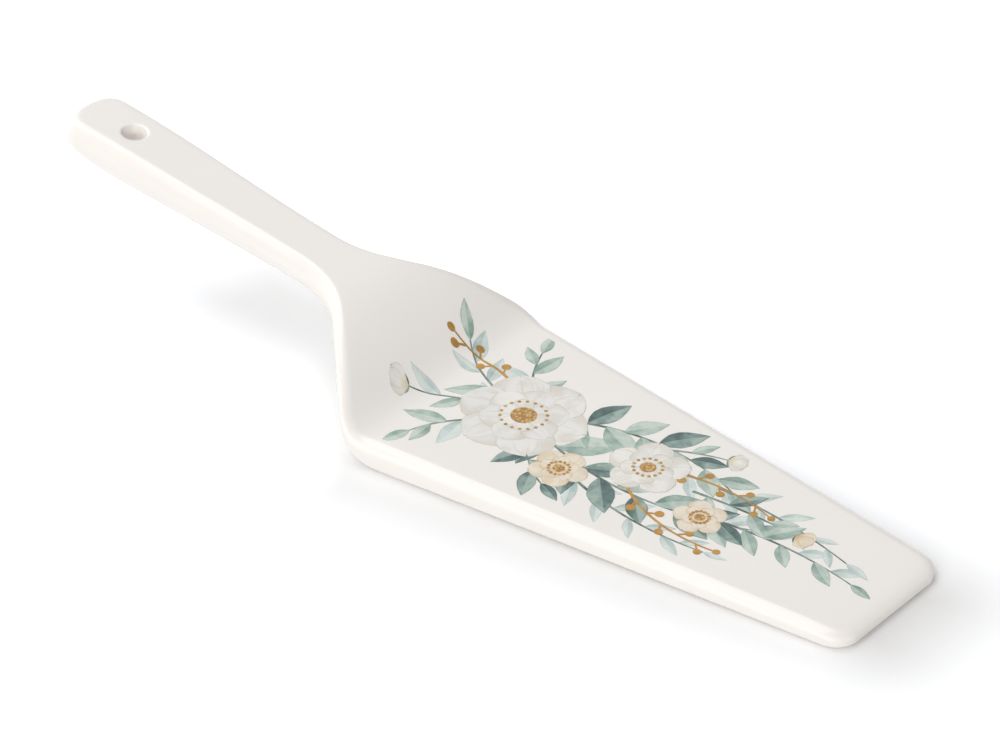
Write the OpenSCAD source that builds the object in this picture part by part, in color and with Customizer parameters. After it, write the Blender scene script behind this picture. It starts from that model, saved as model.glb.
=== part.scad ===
// Cake server in glazed ceramic: blade and handle moulded in one, with a fired-on floral print.
// X runs from the handle's end to the blade's tip, Z is up, and the blade rests on Z = 0.
// The moulding is given as two solids, handle and blade, which meet face to face at the neck, so that
// the space for the fingers under the handle stays open in simulation.

/* [Blade] */
// Length from the shoulders to the tip
blade_len = 142.2; // [110:0.2:180]
// Width across the shoulders, where their straight edges would cross
shoulder_w = 73.4; // [62:0.2:84]
// Width of the tip, where its straight edges would cross
tip_w = 41.2; // [32:0.2:56]
// Thickness at the shoulders
blade_t = 7; // [6:0.1:9]
// Thickness that the flat of the blade would have at the tip
tip_t = 4.2; // [3.6:0.1:6]
// Radius of each shoulder, seen from above
shoulder_r = 8.5; // [6:0.1:12]
// Radius of each corner of the tip, seen from above
tip_r = 6.8; // [5:0.1:10]
// Length of the bevel that thins the tip
bevel_len = 14; // [8:0.5:20]
// Height that the bevel takes off the tip
bevel_h = 0.8; // [0.2:0.1:1.4]

/* [Handle] */
// Length from the handle's end to the neck
handle_len = 94.2; // [80:0.2:125]
// Length of the flare from the neck to the shoulders
flare_len = 28.8; // [26:0.1:36]
// Width near the handle's end
handle_end_w = 20.8; // [18:0.1:26]
// Width at the neck
neck_w = 17.4; // [15:0.1:22]
// Radius of the hollow curve between the neck and the flare
neck_r = 28; // [16:0.5:34]
// Length of the rounded end of the handle
end_round = 7.8; // [6:0.1:10]
// Height of the handle's straight top line at its end
handle_end_h = 40.7; // [36:0.1:50]
// Depth at the handle's end from that top line to the underside's own straight line
handle_end_t = 9.8; // [9:0.1:13]
// Drop of the top line over the last stretch of the handle
droop_h = 0.8; // [0:0.1:2.5]
// Length of that last stretch
droop_len = 40; // [30:1:50]
// Rise of the underside at the handle's end
lift_h = 3.1; // [0:0.1:4]
// Length over which the underside rises
lift_len = 20; // [14:1:30]

/* [Bend between handle and blade] */
// Height of the top crest, where the handle's line meets the slope down to the blade
crest_h = 25.2; // [22:0.1:28]
// Depth from the top crest to the underside's own crest
crest_t = 5.5; // [4.5:0.1:7]
// Distance of the top crest behind the shoulders
crest_back = 14.1; // [12:0.1:17]
// Distance of the underside's crest behind the shoulders
under_back = 19.7; // [18:0.1:22]
// Distance ahead of the shoulders at which the slope's top meets the blade
valley_ahead = 2.1; // [1:0.1:4]
// Distance ahead of the shoulders at which the slope's underside meets the table
foot_ahead = 5.2; // [4:0.1:8]
// Reach of the rounding to each side of both crests
crest_bend = 12; // [8:0.5:14]
// Reach of the rounding to each side of the slope's foot, on top and below
foot_bend = 4.5; // [3:0.1:6]

/* [Edges] */
// Width of the roll-off along the blade's top edge
roll_w = 3.7; // [2.5:0.1:4.5]
// Depth of that roll-off, where the wall is thick enough
roll_h = 3.2; // [2:0.1:3.4]
// Width of the roll-off along the handle's top edge
grip_roll_w = 3.1; // [2.5:0.1:5.4]
// Depth of the handle's roll-off, where the wall is thick enough
grip_roll_h = 4.9; // [3:0.1:5.4]
// Radius of the bottom edge, where the wall is thick enough
foot_r = 1.5; // [0.8:0.1:1.8]

/* [Hanging hole] */
// Distance of the hole from the handle's end
hole_back = 19.1; // [16:0.1:26]
// Radius of the hole
hole_r = 2.75; // [2:0.05:3.5]
// Width of the eased rim at each mouth
rim_w = 0.7; // [0.3:0.1:1]

/* [Print] */
// Thickness at which the fired-on colours are drawn
print_t = 0.12; // [0.1:0.01:0.3]
// Bare glaze left between the print and the roll-off
print_margin = 1.2; // [0.5:0.1:4]
// Length of a full-size leaf
leaf_len = 15; // [10:0.1:18]
// Width of a full-size leaf
leaf_w = 6.4; // [4:0.1:8]
// Width of a stem at its root
stem_w = 0.9; // [0.6:0.05:1.4]
// Length of a petal of the large flower
petal_len = 17.5; // [12:0.1:20]
// Radius of the large flower's centre
eye_r = 3.4; // [2.4:0.1:4.4]
// Radius of a stamen's head
stamen_r = 0.5; // [0.35:0.01:0.6]
// Radius of a gold berry
berry_r = 1.25; // [0.9:0.05:1.6]

/* [Hidden] */
$fn = 48;
glaze_colour = "#f1eee8";
cream_colour = "#ebe6da";
blush_colour = "#edd3b0";
stamen_colour = "#d09a44";
deep_colour = "#4f7472";
sage_colour = "#8fb5a5";
pale_colour = "#bdd2cf";
stem_colour = "#5f7a70";
gold_colour = "#a97828";

// Stations along X, from the handle's end
shoulder_x = handle_len + flare_len;
server_len = shoulder_x + blade_len;
crest_x = shoulder_x - crest_back;
valley_x = shoulder_x + valley_ahead;
under_x = shoulder_x - under_back;
foot_x = shoulder_x + foot_ahead;
flat_x = max(valley_x, foot_x) + foot_bend;
bevel_x = server_len - bevel_len;

// Steps along each stretch of the outline and around each edge
end_steps = 9;
grip_steps = 9;
neck_steps = 8;
flare_steps = 8;
shoulder_steps = 7;
flat_steps = 3;
tip_steps = 7;
roll_steps = 5;
foot_steps = 3;

// Exponent that squares the handle's rounded end a little
end_power = 0.82;
// Most of the wall's thickness that the top rounding, on blade and handle, and the bottom one may take
roll_share = 0.45;
grip_roll_share = 0.7;
foot_share = 0.25;

// Steps along one side of a leaf and of a petal, and along a stem
leaf_steps = 8;
petal_steps = 10;
stem_steps = 8;

// Layers of the print, from the top one down: each is cut away where an upper one lies
STAMEN = 0;
CREAM = 1;
BLUSH = 2;
GOLD = 3;
DEEP = 4;
SAGE = 5;
STEM = 6;
PALE = 7;

// Columns of the three tables: a place is a share of the way from the shoulders to the tip and of the
// half width there, and a stem's length is a share of the blade's
AT_U = 0;
AT_V = 1;
HEADING = 2;
TURN = 3;
REACH = 4;
COUNT = 5;
LENGTH_SHARE = 6;
WIDTH_SHARE = 7;
FIRST_TONE = 8;
SECOND_TONE = 9;
BUD = 10;
SIZE = 3;
PETALS = 4;
PETAL_TONE = 5;
NO_BUD = -1;

// Sprays of leaves, whose leaves take turns in two layers, and some of which end in a bud
spray_shares = [
    [0.24, -0.05, -24, 50, 0.46, 12, 1.08, 1.21, DEEP, SAGE, NO_BUD],
    [0.25, 0.12, 34, -58, 0.37, 11, 0.98, 1.10, SAGE, DEEP, NO_BUD],
    [0.60, -0.16, 16, -26, 0.32, 9, 0.80, 0.76, SAGE, PALE, NO_BUD],
    [0.50, 0.24, 8, -22, 0.38, 10, 0.74, 0.56, PALE, PALE, NO_BUD],
    [0.56, 0.10, 10, -12, 0.21, 5, 0.75, 0.70, SAGE, DEEP, BLUSH],
    [0.17, 0.06, 170, -30, 0.19, 6, 0.90, 0.76, PALE, SAGE, NO_BUD],
    [0.18, 0.20, 134, -24, 0.145, 5, 0.85, 0.80, SAGE, PALE, NO_BUD],
    [0.17, -0.20, -150, 44, 0.15, 5, 0.90, 0.85, SAGE, PALE, NO_BUD],
    [0.16, -0.06, 186, 34, 0.17, 4, 0.80, 0.72, PALE, SAGE, CREAM],
    [0.36, -0.36, -20, 30, 0.32, 9, 0.74, 0.56, PALE, PALE, NO_BUD],
    [0.26, -0.24, -62, 40, 0.12, 4, 0.85, 0.85, DEEP, SAGE, NO_BUD],
    [0.42, 0.28, 42, -26, 0.15, 3, 0.75, 0.68, SAGE, SAGE, CREAM]
];
// Open flowers
flower_shares = [
    [0.20, 0.00, 12, 1.00, 6, CREAM],
    [0.46, 0.11, 40, 0.62, 5, CREAM],
    [0.345, -0.37, 10, 0.45, 5, BLUSH],
    [0.615, -0.17, -20, 0.40, 5, BLUSH]
];
// Gold twigs, with a berry at each step
twig_shares = [
    [0.47, 0.14, 26, -44, 0.24, 6],
    [0.47, -0.23, -34, 46, 0.23, 6],
    [0.12, 0.26, 156, 40, 0.15, 5]
];

// How far forward a leaf and a petal are widest, as an exponent, and how square a petal's end is
leaf_lean_power = 0.85;
petal_lean_power = 1.6;
petal_square_power = 0.7;
petal_w_share = 0.86;
// Angle between a leaf and its stem at the root, and how much it closes towards the end
leaf_angle = 54;
leaf_close_angle = 22;
// Sway of the leaves' angles and sizes from one to the next
sway_angle = 9;
sway_share = 0.13;
sway_step_angle = 110;
// How much leaves and stems shrink towards a spray's end
leaf_taper_share = 0.35;
stem_taper_share = 0.6;
// Where the first leaf sits, as a share of the spacing
first_leaf_share = 0.7;
// Buds and their sepals, as shares of the large flower's petal and of a leaf
bud_share = 0.3;
bud_angle = 26;
sepal_share = 0.28;
// The ring of stamens, as a share of the centre's radius, and the stamens over each petal
stamen_ring_share = 1.75;
stamens_per_petal = 3;
// A berry's stalk as a share of its radius, its angle, which sepals share, its width as a share of
// a stem's, and how much the berries shrink along a twig
stalk_share = 2.5;
stalk_angle = 50;
stalk_w_share = 0.6;
berry_taper_share = 0.25;

// Vector a at unit length
function unit(a) = a / norm(a);
// Point at share t of the way from a to b
function between(a, b, t) = a + (b - a) * t;
// Smooth step from 0 to 1
function ease(t) = t * t * (3 - 2 * t);
// Ramp that starts at 0, rounded over reach r to each side
function bend(u, r) = u <= -r ? 0 : u >= r ? u : (u + r) * (u + r) / (4 * r);
// Points after the first of a straight run from a to b, in n steps
function run(a, b, n) = [for (i = [1:n]) between(a, b, i / n)];
// Points of a round corner of radius r at b, on the way from a to c
function corner(a, b, c, r, n) =
    let (
        back = unit(a - b),
        ahead = unit(c - b),
        half_angle = acos(back * ahead) / 2,
        centre = b + unit(back + ahead) * r / sin(half_angle),
        from = b + back * r / tan(half_angle) - centre,
        to = b + ahead * r / tan(half_angle) - centre,
        sweep = atan2(cross(from, to), from * to),
        start = atan2(from.y, from.x)
    )
    [for (i = [0:n]) centre + r * [cos(start + sweep * i / n), sin(start + sweep * i / n)]];

// Height of the top surface
ramp_slope = (crest_h - blade_t) / (valley_x - crest_x);
grip_slope = (handle_end_h - crest_h) / crest_x;
function wedge(x) = (blade_t - tip_t) * max(0, x - flat_x) / (server_len - flat_x);
function droop(x) = droop_h * pow(max(0, 1 - x / droop_len), 2);
function bevel(x) = bevel_h * pow(max(0, (x - bevel_x) / bevel_len), 2);
function top_z(x) = blade_t - wedge(x) - droop(x) - bevel(x)
    + ramp_slope * bend(valley_x - x, foot_bend)
    - (ramp_slope - grip_slope) * bend(crest_x - x, crest_bend);

// Height of the underside
under_h = crest_h - crest_t;
under_ramp = under_h / (foot_x - under_x);
under_slope = (handle_end_h - handle_end_t - under_h) / under_x;
function lift(x) = lift_h * pow(max(0, 1 - x / lift_len), 2);
function under_z(x) = lift(x)
    + under_ramp * bend(foot_x - x, foot_bend)
    - (under_ramp - under_slope) * bend(under_x - x, crest_bend);
function wall_t(x) = top_z(x) - under_z(x);

// Outline of the +Y side, from the middle of the handle's end to the tip's corner
grip_start = [end_round, handle_end_w / 2];
neck = [handle_len, neck_w / 2];
shoulder = [shoulder_x, shoulder_w / 2];
tip = [server_len, tip_w / 2];
neck_arc = corner([0, neck_w / 2], neck, shoulder, neck_r, neck_steps);
shoulder_arc = corner(neck, shoulder, tip, shoulder_r, shoulder_steps);
tip_arc = corner(shoulder, tip, [server_len, 0], tip_r, tip_steps);
bevel_start = between(shoulder, tip, (bevel_x - shoulder_x) / blade_len);
flat_start = between(shoulder, tip, (flat_x - shoulder_x) / blade_len);
end_arc = [for (i = [0:end_steps]) let (a = 90 * i / end_steps)
    [end_round * (1 - pow(cos(a), end_power)), handle_end_w / 2 * pow(sin(a), end_power)]];
grip_side = [for (i = [1:grip_steps - 1]) let (t = i / grip_steps)
    [grip_start.x + (neck_arc[0].x - grip_start.x) * t,
     grip_start.y + (neck_arc[0].y - grip_start.y) * ease(t)]];
half_outline = concat(
    end_arc,
    grip_side,
    neck_arc,
    run(neck_arc[neck_steps], shoulder_arc[0], flare_steps),
    [for (i = [1:shoulder_steps]) shoulder_arc[i]],
    run(shoulder_arc[shoulder_steps], flat_start, flat_steps),
    run(flat_start, bevel_start, flat_steps),
    run(bevel_start, tip_arc[0], flat_steps),
    [for (i = [1:tip_steps]) tip_arc[i]]
);
half_count = len(half_outline);

// The whole loop goes out along +Y and comes back along -Y, which has no copy of the first point
outline = concat(
    half_outline,
    [for (i = [half_count - 1:-1:1]) [half_outline[i].x, -half_outline[i].y]]
);
loop_count = len(outline);
function outward(i) =
    let (
        here = outline[i],
        before = outline[(i + loop_count - 1) % loop_count],
        after = outline[(i + 1) % loop_count],
        along = unit(unit(here - before) + unit(after - here))
    )
    [-along.y, along.x];
normals = [for (i = [0:loop_count - 1]) outward(i)];

// The handle's value up to the neck, the blade's from the shoulders on, and a smooth change between
function grip_or_blade(x, grip, blade) =
    between(grip, blade, ease(max(0, min(1, (x - handle_len) / flare_len))));
function roll_reach(x) = grip_or_blade(x, grip_roll_w, roll_w);
function roll_d(x) = min(
    grip_or_blade(x, grip_roll_h, roll_h),
    grip_or_blade(x, grip_roll_share, roll_share) * wall_t(x)
);
function foot_d(x) = min(foot_r, foot_share * wall_t(x));

// Rings from the top face down the wall to the underside
function top_ring(angle) = [for (i = [0:loop_count - 1])
    let (p = outline[i] - normals[i] * roll_reach(outline[i].x) * (1 - sin(angle)))
    [p.x, p.y, top_z(p.x) - roll_d(outline[i].x) * (1 - cos(angle))]];
function foot_ring(angle) = [for (i = [0:loop_count - 1])
    let (
        d = foot_d(outline[i].x),
        p = outline[i] - normals[i] * d * (1 - cos(angle))
    )
    [p.x, p.y, under_z(p.x) + d * (1 - sin(angle))]];
rings = concat(
    [for (i = [0:roll_steps]) top_ring(90 * i / roll_steps)],
    [for (i = [0:foot_steps]) foot_ring(90 * i / foot_steps)]
);
ring_count = len(rings);

// Index of point i of ring k, where i may run past the loop's end
function at(k, i) = k * loop_count + (i + loop_count) % loop_count;
wall_faces = [for (k = [0:ring_count - 2], i = [0:loop_count - 1], half = [0, 1])
    half == 0 ? [at(k, i), at(k + 1, i), at(k, i + 1)]
              : [at(k, i + 1), at(k + 1, i), at(k + 1, i + 1)]];
// A cap is strips across the server, and each joins point i to its mirror image
function cap(k, up) = [for (i = [0:half_count - 2], half = [0, 1])
    let (
        near = half == 0 ? [at(k, i), at(k, i + 1), at(k, -i - 1)]
                         : [at(k, i), at(k, -i - 1), at(k, -i)]
    )
    if (i > 0 || half == 0) up ? near : [near[2], near[1], near[0]]];

// Hanging hole, square to the handle's top
hole_tilt = atan((top_z(hole_back - hole_r) - top_z(hole_back + hole_r)) / (2 * hole_r));
hole_depth = wall_t(hole_back) * cos(hole_tilt);
hole_mid = [hole_back, 0, top_z(hole_back)]
    - hole_depth / 2 * [sin(hole_tilt), 0, cos(hole_tilt)];

// Place on the blade at share u of the way to the tip and share v of the half width there
function place(u, v) = [shoulder_x + u * blade_len, v * (shoulder_w + (tip_w - shoulder_w) * u) / 2];
// Where a table's row takes root, and the point and heading at share t of the row's stem
function root(row) = place(row[AT_U], row[AT_V]);
function heading_at(row, t) = row[HEADING] + row[TURN] * t;
function stem_point(row, t) =
    let (a = heading_at(row, t / 2))
    root(row) + row[REACH] * blade_len * t * [cos(a), sin(a)];
// Turns alternate sides: -1 on even steps and 1 on odd ones
function side_of(i) = i % 2 == 0 ? -1 : 1;

// Outline that leaves p at a heading and is as wide at each step as its share of the width
function swell_points(p, heading, length, width, swell) =
    let (
        ahead = [cos(heading), sin(heading)],
        aside = [-ahead.y, ahead.x],
        last = len(swell) - 1
    )
    concat(
        [for (i = [0:last]) p + ahead * length * i / last + aside * width / 2 * swell[i]],
        [for (i = [last - 1:-1:1]) p + ahead * length * i / last - aside * width / 2 * swell[i]]
    );
leaf_swell = [for (i = [0:leaf_steps]) sin(180 * pow(i / leaf_steps, leaf_lean_power))];
petal_swell = [for (i = [0:petal_steps])
    pow(max(0, sin(180 * pow(i / petal_steps, petal_lean_power))), petal_square_power)];
function leaf_points(p, heading, length, width) = swell_points(p, heading, length, width, leaf_swell);
function petal_points(p, heading, length) =
    swell_points(p, heading, length, length * petal_w_share, petal_swell);

// Outline of a row's tapering stem
function stem_edge(row, side, i) =
    let (
        a = heading_at(row, i / stem_steps),
        half = stem_w / 2 * (1 - stem_taper_share * i / stem_steps)
    )
    stem_point(row, i / stem_steps) + side * half * [-sin(a), cos(a)];
function stem_points(row) = concat(
    [for (i = [0:stem_steps]) stem_edge(row, 1, i)],
    [for (i = [stem_steps:-1:0]) stem_edge(row, -1, i)]
);

// One leaf of a spray: its layer and its outline
function is_last(row, i) = i == row[COUNT] - 1;
function leaf_layer(row, i) = i % 3 > 0 && i % 2 == 1 ? row[SECOND_TONE] : row[FIRST_TONE];
function spray_leaf(row, i) =
    let (
        t = is_last(row, i) ? 1 : (i + first_leaf_share) / row[COUNT],
        sway = sin(sway_step_angle * (i + row[COUNT] / 2)),
        size = (1 - leaf_taper_share * t) * (1 + sway_share * sway),
        opening = side_of(i) * (leaf_angle - leaf_close_angle * t) + sway_angle * sway,
        heading = heading_at(row, t) + (is_last(row, i) ? 0 : opening)
    )
    leaf_points(
        stem_point(row, t),
        heading,
        leaf_len * row[LENGTH_SHARE] * size,
        leaf_w * row[WIDTH_SHARE] * size
    );

// A berry of a twig and its stalk, which the last berry has none of
function stalk_reach(row, i) = is_last(row, i) ? 0 : berry_r * stalk_share;
function stalk_way(row, i) =
    let (a = heading_at(row, (i + 1) / row[COUNT]) + side_of(i) * stalk_angle)
    [cos(a), sin(a)];
function stalk_root(row, i) = stem_point(row, (i + 1) / row[COUNT]);
function berry_at(row, i) = stalk_root(row, i) + stalk_reach(row, i) * stalk_way(row, i);
function stalk_points(row, i) =
    let (
        way = stalk_way(row, i),
        aside = stem_w * stalk_w_share / 2 * [-way.y, way.x],
        from = stalk_root(row, i),
        to = berry_at(row, i)
    )
    [from + aside, to + aside, to - aside, from - aside];

// Every mark is a layer and an outline
stem_marks = [for (row = spray_shares) [STEM, stem_points(row)]];
leaf_marks = [for (row = spray_shares, i = [0:row[COUNT] - 1])
    if (!is_last(row, i) || row[BUD] == NO_BUD)
        [leaf_layer(row, i), spray_leaf(row, i)]];
bud_marks = [for (row = spray_shares, k = [-1:1])
    if (row[BUD] != NO_BUD)
        let (a = heading_at(row, 1) + k * bud_angle)
        [row[BUD], petal_points(stem_point(row, 1), a, petal_len * bud_share)]];
sepal_marks = [for (row = spray_shares, side = [-1, 1])
    if (row[BUD] != NO_BUD)
        let (a = heading_at(row, 1) + side * stalk_angle)
        [DEEP, leaf_points(stem_point(row, 1), a, leaf_len * sepal_share, leaf_w * sepal_share)]];
petal_marks = [for (row = flower_shares, i = [0:row[PETALS] - 1])
    let (a = row[HEADING] + 360 * i / row[PETALS])
    [row[PETAL_TONE], petal_points(root(row), a, petal_len * row[SIZE])]];
twig_marks = [for (row = twig_shares) [GOLD, stem_points(row)]];
stalk_marks = [for (row = twig_shares, i = [0:row[COUNT] - 2]) [GOLD, stalk_points(row, i)]];
marks = concat(stem_marks, leaf_marks, bud_marks, sepal_marks, petal_marks, twig_marks, stalk_marks);

// Every dot is a layer, a centre and a radius
eye_dots = [for (row = flower_shares) [STAMEN, root(row), eye_r * row[SIZE]]];
stamen_dots = [for (row = flower_shares, i = [0:stamens_per_petal * row[PETALS] - 1])
    let (a = 360 * i / (stamens_per_petal * row[PETALS]))
    [STAMEN, root(row) + eye_r * row[SIZE] * stamen_ring_share * [cos(a), sin(a)], stamen_r]];
berry_dots = [for (row = twig_shares, i = [0:row[COUNT] - 1])
    [GOLD, berry_at(row, i), berry_r * (1 - berry_taper_share * i / row[COUNT])]];
dots = concat(eye_dots, stamen_dots, berry_dots);

module drawn_shape() {
    polyhedron(
        points = [for (ring = rings, p = ring) p],
        faces = concat(wall_faces, cap(0, true), cap(ring_count - 1, false))
    );
}

// Half of the hole's cut, from the middle of the handle out through one mouth
module hole_half() {
    cylinder(h = hole_depth, r = hole_r);
    translate([0, 0, hole_depth / 2 - rim_w])
        cylinder(h = 2 * rim_w, r1 = hole_r, r2 = hole_r + 2 * rim_w);
}

// Block that starts at a station along X and clears the server on every other side
module block_from(x) {
    translate([x, -shoulder_w, -handle_end_h])
        cube([server_len, 2 * shoulder_w, 3 * handle_end_h]);
}

module handle() {
    color(glaze_colour)
        translate([-server_len / 2, 0, 0])
            difference() {
                drawn_shape();
                block_from(handle_len);
                translate(hole_mid)
                    rotate([0, hole_tilt, 0]) {
                        hole_half();
                        mirror([0, 0, 1])
                            hole_half();
                    }
            }
}

module blade() {
    color(glaze_colour)
        translate([-server_len / 2, 0, 0])
            difference() {
                drawn_shape();
                block_from(handle_len - server_len);
            }
}

// Thin skin on the top face, from the neck to the tip, with the face's own facets under it
module face_skin() {
    stations = [for (i = [0:half_count - 1]) if (rings[0][i].x > handle_len) rings[0][i]];
    last = len(stations) - 1;
    rotate([90, 0, 0])
        linear_extrude(shoulder_w, center = true)
            polygon(concat(
                [for (i = [0:last]) [stations[i].x, stations[i].z]],
                [for (i = [last:-1:0]) [stations[i].x, stations[i].z + print_t]]
            ));
}

// The part of the top face that may carry print, seen from above
module print_field() {
    polygon([for (i = [0:loop_count - 1])
        outline[i] - normals[i] * (roll_reach(outline[i].x) + print_margin)]);
}

// The marks and dots of the layers from first to last, seen from above
module ink(first, last) {
    for (m = marks)
        if (m[0] >= first && m[0] <= last)
            polygon(m[1]);
    for (d = dots)
        if (d[0] >= first && d[0] <= last)
            translate(d[1])
                circle(d[2]);
}

// One layer of the print: its marks where no upper layer covers them, lying on the top face
module print_layer(layer) {
    translate([-server_len / 2, 0, 0])
        intersection() {
            face_skin();
            linear_extrude(handle_end_h)
                difference() {
                    intersection() {
                        print_field();
                        ink(layer, layer);
                    }
                    ink(STAMEN, layer - 1);
                }
        }
}

module stamen_print() {
    color(stamen_colour)
        print_layer(STAMEN);
}

module cream_petal_print() {
    color(cream_colour)
        print_layer(CREAM);
}

module blush_petal_print() {
    color(blush_colour)
        print_layer(BLUSH);
}

module gold_print() {
    color(gold_colour)
        print_layer(GOLD);
}

module deep_leaf_print() {
    color(deep_colour)
        print_layer(DEEP);
}

module sage_leaf_print() {
    color(sage_colour)
        print_layer(SAGE);
}

module stem_print() {
    color(stem_colour)
        print_layer(STEM);
}

module pale_leaf_print() {
    color(pale_colour)
        print_layer(PALE);
}

handle();
blade();
cream_petal_print();
blush_petal_print();
stamen_print();
deep_leaf_print();
sage_leaf_print();
pale_leaf_print();
stem_print();
gold_print();
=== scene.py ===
# %% [markdown]
# # A ceramic cake server, step by step
# The real thing is one slip-cast piece of white stoneware: a thin wedge of a blade, a short steep
# slope and a slim raised handle, all under one clear gloss glaze. A floral transfer, printed colour
# by colour, is fired onto the blade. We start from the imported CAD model, which is the fixed frame:
# it says where everything is. Blender then gives the same forms finer curves and real surfaces.

# %% Load the frame
import math
import random
from collections import namedtuple

import bmesh
import bpy
from mathutils import Matrix, Vector, geometry, noise


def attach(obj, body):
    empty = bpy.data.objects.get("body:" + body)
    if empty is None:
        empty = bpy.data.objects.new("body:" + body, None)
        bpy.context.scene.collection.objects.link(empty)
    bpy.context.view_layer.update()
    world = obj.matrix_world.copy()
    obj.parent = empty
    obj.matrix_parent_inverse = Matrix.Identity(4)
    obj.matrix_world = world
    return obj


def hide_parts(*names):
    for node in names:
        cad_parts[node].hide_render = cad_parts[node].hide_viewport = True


MM = 0.001

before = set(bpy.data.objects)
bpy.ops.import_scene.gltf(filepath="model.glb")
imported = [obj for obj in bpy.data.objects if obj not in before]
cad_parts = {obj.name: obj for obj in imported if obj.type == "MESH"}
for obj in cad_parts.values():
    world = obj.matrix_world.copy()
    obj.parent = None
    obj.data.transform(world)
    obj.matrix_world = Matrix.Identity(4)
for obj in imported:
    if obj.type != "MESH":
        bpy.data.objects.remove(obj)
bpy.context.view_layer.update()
print("CAD nodes:", sorted(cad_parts))

# %% [markdown]
# ## The sizes of the moulding
# A part that is drawn twice has to be drawn from the same numbers, so these repeat the CAD source's
# sizes, in metres. X is measured from the handle's end here, and the finished mesh is moved back by
# half the length, because the frame's origin is in the middle of the server.

# %% Sizes of the moulding
blade_len = 142.2 * MM
shoulder_w = 73.4 * MM
tip_w = 41.2 * MM
blade_t = 7 * MM
tip_t = 4.2 * MM
shoulder_r = 8.5 * MM
tip_r = 6.8 * MM
bevel_len = 14 * MM
bevel_h = 0.8 * MM

handle_len = 94.2 * MM
flare_len = 28.8 * MM
handle_end_w = 20.8 * MM
neck_w = 17.4 * MM
neck_r = 28 * MM
end_round = 7.8 * MM
end_power = 0.82
handle_end_h = 40.7 * MM
handle_end_t = 9.8 * MM
droop_h = 0.8 * MM
droop_len = 40 * MM
lift_h = 3.1 * MM
lift_len = 20 * MM

crest_h = 25.2 * MM
crest_t = 5.5 * MM
crest_back = 14.1 * MM
under_back = 19.7 * MM
valley_ahead = 2.1 * MM
foot_ahead = 5.2 * MM
crest_bend = 12 * MM
foot_bend = 4.5 * MM

roll_w = 3.7 * MM
roll_h = 3.2 * MM
roll_share = 0.45
grip_roll_w = 3.1 * MM
grip_roll_h = 4.9 * MM
grip_roll_share = 0.7
foot_r = 1.5 * MM
foot_share = 0.25

hole_back = 19.1 * MM
hole_r = 2.75 * MM
rim_w = 0.7 * MM
rim_depth = 2.8 * MM
rim_power = 1.5

shoulder_x = handle_len + flare_len
server_len = shoulder_x + blade_len
print("length of the server in mm:", round(server_len / MM, 1))

# %% [markdown]
# ## The long section
# Seen from the side, the top face is nearly straight lines that are joined by soft bends: handle,
# slope, blade. A *bend* is a ramp whose start is rounded by a parabola, so heights and slopes both
# run on smoothly, and a glossy glaze shows no kink. Adding one such ramp per bend gives the whole
# section from a few lengths, and moving one length moves everything that hangs on it.

# %% Heights of the top face and of the underside
crest_x = shoulder_x - crest_back
valley_x = shoulder_x + valley_ahead
under_x = shoulder_x - under_back
foot_x = shoulder_x + foot_ahead
flat_x = max(valley_x, foot_x) + foot_bend
bevel_x = server_len - bevel_len


def bend(distance, reach):
    """A ramp that starts at 0, rounded over the reach to each side."""
    if distance <= -reach:
        return 0.0
    if distance >= reach:
        return distance
    return (distance + reach) ** 2 / (4 * reach)


slope_on_top = (crest_h - blade_t) / (valley_x - crest_x)
slope_of_grip = (handle_end_h - crest_h) / crest_x


def top_height(x):
    thinning = (blade_t - tip_t) * max(0, x - flat_x) / (server_len - flat_x)
    droop = droop_h * max(0, 1 - x / droop_len) ** 2
    bevel = bevel_h * max(0, (x - bevel_x) / bevel_len) ** 2
    rise = slope_on_top * bend(valley_x - x, foot_bend)
    easing = (slope_on_top - slope_of_grip) * bend(crest_x - x, crest_bend)
    return blade_t - thinning - droop - bevel + rise - easing


under_h = crest_h - crest_t
slope_below = under_h / (foot_x - under_x)
slope_under_grip = (handle_end_h - handle_end_t - under_h) / under_x


def under_height(x):
    lift = lift_h * max(0, 1 - x / lift_len) ** 2
    rise = slope_below * bend(foot_x - x, foot_bend)
    easing = (slope_below - slope_under_grip) * bend(under_x - x, crest_bend)
    return lift + rise - easing


def wall(x):
    return top_height(x) - under_height(x)


for x in (0, crest_x, valley_x, server_len):
    print("at", round(x / MM, 1), "mm: top", round(top_height(x) / MM, 2), "wall",
          round(wall(x) / MM, 2))

# %% [markdown]
# ## The outline from above
# Seen from above, the server is symmetric, so only one side is drawn. Its corners are true arcs,
# each worked out from the two edges that it joins. The handle's end is a *superellipse*, a circle
# that is slightly squared, as a hand-finished plaster mould gives it. The points are close together
# where the line turns, and 1.5 mm apart elsewhere, which the soft reflections need. The straight
# edge of the tip is divided like the strips that will close the faces, so that they meet there.

# %% One side of the outline, then the whole loop
point_spacing = 1.5 * MM
end_steps = 22
neck_steps = 20
shoulder_steps = 16
tip_steps = 16
cells_across = 16


def smooth(share):
    """Eases a share from 0 to 1, with no kink at either end."""
    return share * share * (3 - 2 * share)


def round_corner(before, corner, after, radius, steps):
    """The arc that rounds a corner between two straight edges."""
    back = (before - corner).normalized()
    ahead = (after - corner).normalized()
    half_angle = math.acos(back.dot(ahead)) / 2
    centre = corner + (back + ahead).normalized() * radius / math.sin(half_angle)
    start = corner + back * radius / math.tan(half_angle) - centre
    end = corner + ahead * radius / math.tan(half_angle) - centre
    first = math.atan2(start.y, start.x)
    sweep = math.atan2(start.cross(end), start.dot(end))
    turns = [first + sweep * i / steps for i in range(steps + 1)]
    return [centre + radius * Vector((math.cos(a), math.sin(a))) for a in turns]


def straight_run(start, end):
    """Points after the start, up to and with the end."""
    steps = math.ceil((end - start).length / point_spacing)
    return [start.lerp(end, i / steps) for i in range(1, steps + 1)]


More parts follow.
